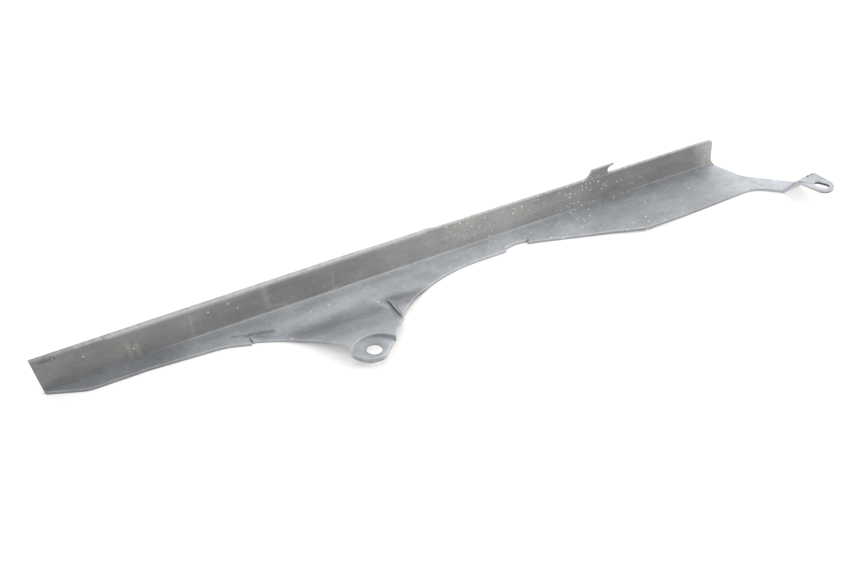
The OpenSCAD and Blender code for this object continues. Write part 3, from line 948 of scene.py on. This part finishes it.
def dust_share(skin):
    """Uneven dust: broad clouds, and streaks wiped along the guard."""
    clouds = skin.noise(skin.at, 0.035, 4.0)
    streaks = skin.noise(skin.at, 0.12, 3.0, 0.6, (0.18, 1, 1))
    return skin.calc("ADD", skin.times(clouds, 0.6), skin.times(streaks, 0.4))


def smeared(skin, colour):
    """Adds the pale upright smears on the top wall."""
    for start, end, width in SMEARS:
        smear = skin.times(skin.stroke(skin.ragged, start, end, width, width * 0.6), skin.wall)
        colour = skin.tinted(colour, smear, 0.26, (0.45, 0.41, 0.39))
    return colour


def painted_shade_and_light(skin, colour):
    """Adds painted shade on the side wall, the ear and the shelf, and painted light and shade round them: a
    highlight on the facet beside the shelf's step, a lighter band on the wall round the seat, and shade in
    the step's corner, the ear's dish, the neck's fold and along the bend near the front.
    """
    with_painted_shade = colour
    # painted shade over the ear's ramp, crest and shelf, along the bend and in the crack
    for mark in PAINTED_SHADE:
        with_painted_shade = skin.shaded(with_painted_shade, skin.ragged, *mark)
    # painted highlight on the facet left of the shelf's step
    facet = skin.stroke(skin.unrolled, (215.0, 25.5), (217.5, 29.5), 4.0, 1.6)
    with_painted_shade = skin.tinted(with_painted_shade, facet, 0.5, (0.42, 0.44, 0.46))
    # painted shade in the step's corner, the ear's dish and the neck's fold
    for mark in CORNERS:
        with_painted_shade = skin.shaded(with_painted_shade, skin.unrolled, *mark)
    in_plan = skin.add("CombineXYZ", {0: skin.x, 1: skin.y}).outputs[0]
    from_boss = skin.vector("DISTANCE", "Value", {0: in_plan, 1: (BOSS_X, BOSS_Y, 0)})
    # painted light: a lighter band on the wall round the seat
    seat_wall = skin.times(skin.span(from_boss, SEAT_RADIUS + 1.2, SEAT_RADIUS + 0.3),
                           skin.span(from_boss, SEAT_RADIUS - 1.6, SEAT_RADIUS - 0.2))
    with_painted_shade = skin.tinted(with_painted_shade, seat_wall, skin.span(skin.x, 178, 199, 0.55, 0.2), (0.62, 0.65, 0.69))
    # painted shade on the side wall next to the bend, towards the front
    near_bend = skin.times(skin.span(skin.y, -10, -1), skin.span(skin.x, 330, 420))
    with_painted_shade = skin.tinted(with_painted_shade, near_bend, skin.span(skin.x, 400, 440, 0.2, 0.1), (0, 0, 0))
    return skin.blend(skin.calc("SUBTRACT", 1.0, skin.wall), colour, with_painted_shade)


def lip_shade_and_highlight(skin, colour):
    """Adds two dark lines of painted shade at the raked rear end, a little below the top edge and along it,
    and a painted highlight along the lip.
    """
    # painted shade at the raked rear end
    colour = skin.shaded(colour, skin.unrolled, (-2.0, -22.9), (8.0, -22.8), 0.9, 0.8, 0.45)
    colour = skin.shaded(colour, skin.unrolled, (-9.0, -25.6), (6.0, -25.6), 1.4, 1.6, 0.5)
    # painted highlight along the lip's top edge
    shine = skin.stroke(skin.unrolled, (42.0, -24.9), (262.0, -24.9), 2.0, 1.6)
    return skin.tinted(colour, shine, 0.28, (0.75, 0.74, 0.72))


def scratches_and_corner_light(skin, colour):
    """Adds short bright scratches near the hook and on the flap, and a painted highlight on the top wall's
    front corner.
    """
    for start, end in SCRATCHES:
        scratch = skin.stroke(skin.unrolled, start, end, 0.5, 0.35)
        colour = skin.tinted(colour, scratch, 0.45, (0.6, 0.6, 0.6))
    # painted highlight on the top wall's front corner
    corner = skin.stroke(skin.unrolled, (480.0, -19.0), (490.0, -18.0), 5, 4)
    return skin.tinted(colour, corner, 0.25, (0.5, 0.5, 0.5))


def specked(skin, colour):
    """Adds white specks in two sizes, thickest on the front half."""
    crowd = skin.span(skin.noise(skin.at, 0.03, 2.0), 0.4, 0.62)
    front = skin.times(skin.span(skin.x, 262, 300), skin.span(skin.x, 450, 385), crowd)
    chance = skin.times(skin.calc("ADD", front, 0.05), skin.span(skin.wall, 0, 1, 0.2, 0.32))
    for cell, base, scale in ((3.2, 0.42, 0.13), (6.0, 0.7, 0.055)):
        crumbs = skin.add("TexVoronoi", {"Vector": skin.unrolled, "Scale": 1 / cell, "Randomness": 1.0},
                          voronoi_dimensions="2D").outputs
        chosen = skin.add("SeparateColor", {0: crumbs["Color"]}).outputs
        size = skin.times(skin.calc("ADD", chosen[1], base), scale)
        crumb = skin.span(skin.calc("DIVIDE", crumbs["Distance"], size), 1.3, 0.7)
        speck = skin.times(skin.calc("LESS_THAN", chosen[0], chance), crumb)
        colour = skin.tinted(colour, speck, 0.85, (0.78, 0.78, 0.76))
    return colour


def edge_marked(skin, colour):
    """Adds wear with a painted highlight on the edges' rounds, painted shade down the cut edges, and the
    painted line along the bend.

    The mesh says where they are: the edge mark is above zero on an edge's round and below it on a cut one.
    The line along the bend is a painted highlight in the middle of the guard and painted shade at both ends.
    A blend takes a share below zero as zero.
    """
    rubbed = skin.add("Attribute", attribute_name="rubbed").outputs["Fac"]
    bend_light_and_shade = skin.add("Attribute", attribute_name="bend_light_and_shade").outputs["Fac"]
    patchy = skin.span(skin.noise(skin.at, 0.25, 3.0), 0.35, 0.6, 0.5, 1.0)
    # edge wear with a painted highlight on the edges' rounds
    side_wear_and_light = skin.times(skin.span(skin.x, 410, 450, 0.65, 0.1), skin.span(skin.x, 60, 140, 0.5, 1.0))
    wall_wear_and_light = skin.times(skin.wall, 0.6, skin.span(skin.x, 2, 30))
    worn_and_lit = skin.times(rubbed, patchy, skin.calc("MAXIMUM", side_wear_and_light, wall_wear_and_light))
    colour = skin.blend(worn_and_lit, colour, (0.5, 0.5, 0.5, 1))
    # painted shade down the cut edges
    cut = skin.times(rubbed, -1.0)
    colour = skin.tinted(colour, cut, skin.stops(skin.along, CUT_SHADES), (0.04, 0.03, 0.025))
    # painted highlight along the bend in the middle of the guard, painted shade at its two ends
    strength = skin.calc("MINIMUM", skin.span(skin.x, 400, 330, -0.3, 0.5),
                         skin.span(skin.x, 50, 130, -0.25, 0.5))
    line = skin.times(bend_light_and_shade, patchy, strength)
    colour = skin.blend(line, colour, (0.42, 0.41, 0.39, 1))
    return skin.tinted(colour, line, -1.0, (0, 0, 0))


def worn_plastic():
    """The guard's material: black moulded plastic, greyed by dust and wear, with specks and smears, and with
    painted light and shade.
    """
    material = bpy.data.materials.new("worn_plastic")
    material.use_nodes = True
    skin = Skin(material.node_tree)
    dust = dust_share(skin)
    mottle = skin.noise(skin.at, 0.3, 5.0, 0.75)
    colour = skin.scaled(tones_and_painted_light(skin), skin.stops(dust, ((0.36, 0.84), (0.64, 1.16))))
    colour = skin.scaled(colour, skin.stops(mottle, ((0.3, 0.86), (0.7, 1.14))))
    for marked in (smeared, painted_shade_and_light, lip_shade_and_highlight, scratches_and_corner_light, specked, edge_marked):
        colour = marked(skin, colour)
    grain = skin.noise(skin.at, 1.6, 3.0, 0.6)
    bumps = skin.add("Bump", {"Strength": 0.12, "Distance": 0.0002, "Height": grain}).outputs[0]
    skin.feed(material.node_tree.nodes["Principled BSDF"], {
        "Base Color": colour, "Normal": bumps, "IOR": 1.5,
        "Roughness": skin.span(dust, 0.3, 0.7, 0.36, 0.46)})
    return material


def pale_floor():
    """The floor's material: pale paper that glows a little, and glows more in a patch under the ear's hole,
    a painted pool of light.
    """
    glow, hole_glow = 0.25, 0.62
    patch_core, patch_end = 0.006, 0.013
    material = bpy.data.materials.new("pale_floor")
    material.use_nodes = True
    nodes = Nodes(material.node_tree)
    # painted light: the floor glows brighter in a patch under the ear's hole
    under_hole = tuple(place((EAR_X + 3.1, EAR_Y + 6.7, 0.0)))
    spot = nodes.add("TexCoord").outputs["Object"]
    reach = nodes.vector("DISTANCE", "Value", {0: spot, 1: under_hole})
    nodes.feed(material.node_tree.nodes["Principled BSDF"], {
        "Base Color": (0.76, 0.76, 0.76, 1), "Roughness": 0.8, "Emission Color": (1, 0.96, 0.91, 1),
        "Emission Strength": nodes.span(reach, patch_end, patch_core, glow, hole_glow)})
    return material


def wide_floor():
    """A square floor just below the guard."""
    half, drop = 6.0, 2e-5
    mesh = bpy.data.meshes.new("floor")
    corners = [(x * half, y * half, -drop) for x, y in ((-1, -1), (1, -1), (1, 1), (-1, 1))]
    mesh.from_pydata(corners, [], [(0, 1, 2, 3)])
    mesh.materials.append(pale_floor())
    return in_scene("floor", mesh)


def facing(side, top, back, spot):
    """The matrix of something at a spot that looks along its own -Z, from its three axes."""
    return Matrix([[side[k], top[k], back[k], spot[k]] for k in range(3)] + [[0, 0, 0, 1]])


def photo_camera():
    """The photo's camera: about 1.2 m away, turned along the guard and looking down by 38 degrees."""
    turn, down = math.radians(29.326), math.radians(38)
    eye = place((-230.92, -885.04, 771.68))
    focal_pixels, picture_pixels, sensor = 1935.48, 860, 36
    ahead = np.array([math.sin(turn), math.cos(turn), 0])
    right = np.array([math.cos(turn), -math.sin(turn), 0])
    up = np.array([0, 0, 1])
    data = bpy.data.cameras.new("camera")
    data.sensor_width = sensor
    data.lens = sensor * focal_pixels / picture_pixels
    top = math.sin(down) * ahead + math.cos(down) * up
    back = math.sin(down) * up - math.cos(down) * ahead
    camera = in_scene("camera", data)
    camera.matrix_world = facing(right, top, back, eye)
    bpy.context.scene.camera = camera


def area_light(name, direction, distance, size, power, colour=(1, 1, 1)):
    """A square soft light at a distance from the frame's origin, facing it."""
    data = bpy.data.lights.new(name, "AREA")
    data.size = size
    data.energy = power
    data.color = colour
    away = np.array(direction, float) / np.linalg.norm(direction)
    side = np.cross((0, 0, 1), away)
    side /= np.linalg.norm(side)
    light = in_scene(name, data)
    light.matrix_world = facing(side, np.cross(away, side), away, away * distance)


def studio_world():
    """An even white studio, a little darker towards the horizon."""
    world = bpy.data.worlds.new("studio")
    world.use_nodes = True
    sky = Nodes(world.node_tree)
    upwards = sky.add("SeparateXYZ", {0: sky.add("TexCoord").outputs["Generated"]}).outputs[2]
    tone = sky.stops(upwards, ((0.0, 0.6), (0.25, 0.8), (0.5, 1.0), (1.0, 1.0)))
    sky.feed(world.node_tree.nodes["Background"], {"Color": tone, "Strength": 1.1})
    bpy.context.scene.world = world


shells = [side_wall(), top_wall(), ear_ramp(), ear_pad(), front_tab(), broken_skin(1.9, 2.2, 0.8),
          broken_skin(5.4, 1.3, 0.7), edge_hook()]
guard = make_piece("guard_skin", shells, worn_plastic())
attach(guard, "root")
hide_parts("chain_guard")

floor = wide_floor()
photo_camera()
area_light("key", (0.875, -0.48, 0.47), 1.8, 0.6, 12, (1, 0.97, 0.93))
area_light("softbox", (0.48, 0.75, 0.68), 1.3, 1.1, 4)
studio_world()
bpy.context.scene.view_settings.view_transform = "Standard"
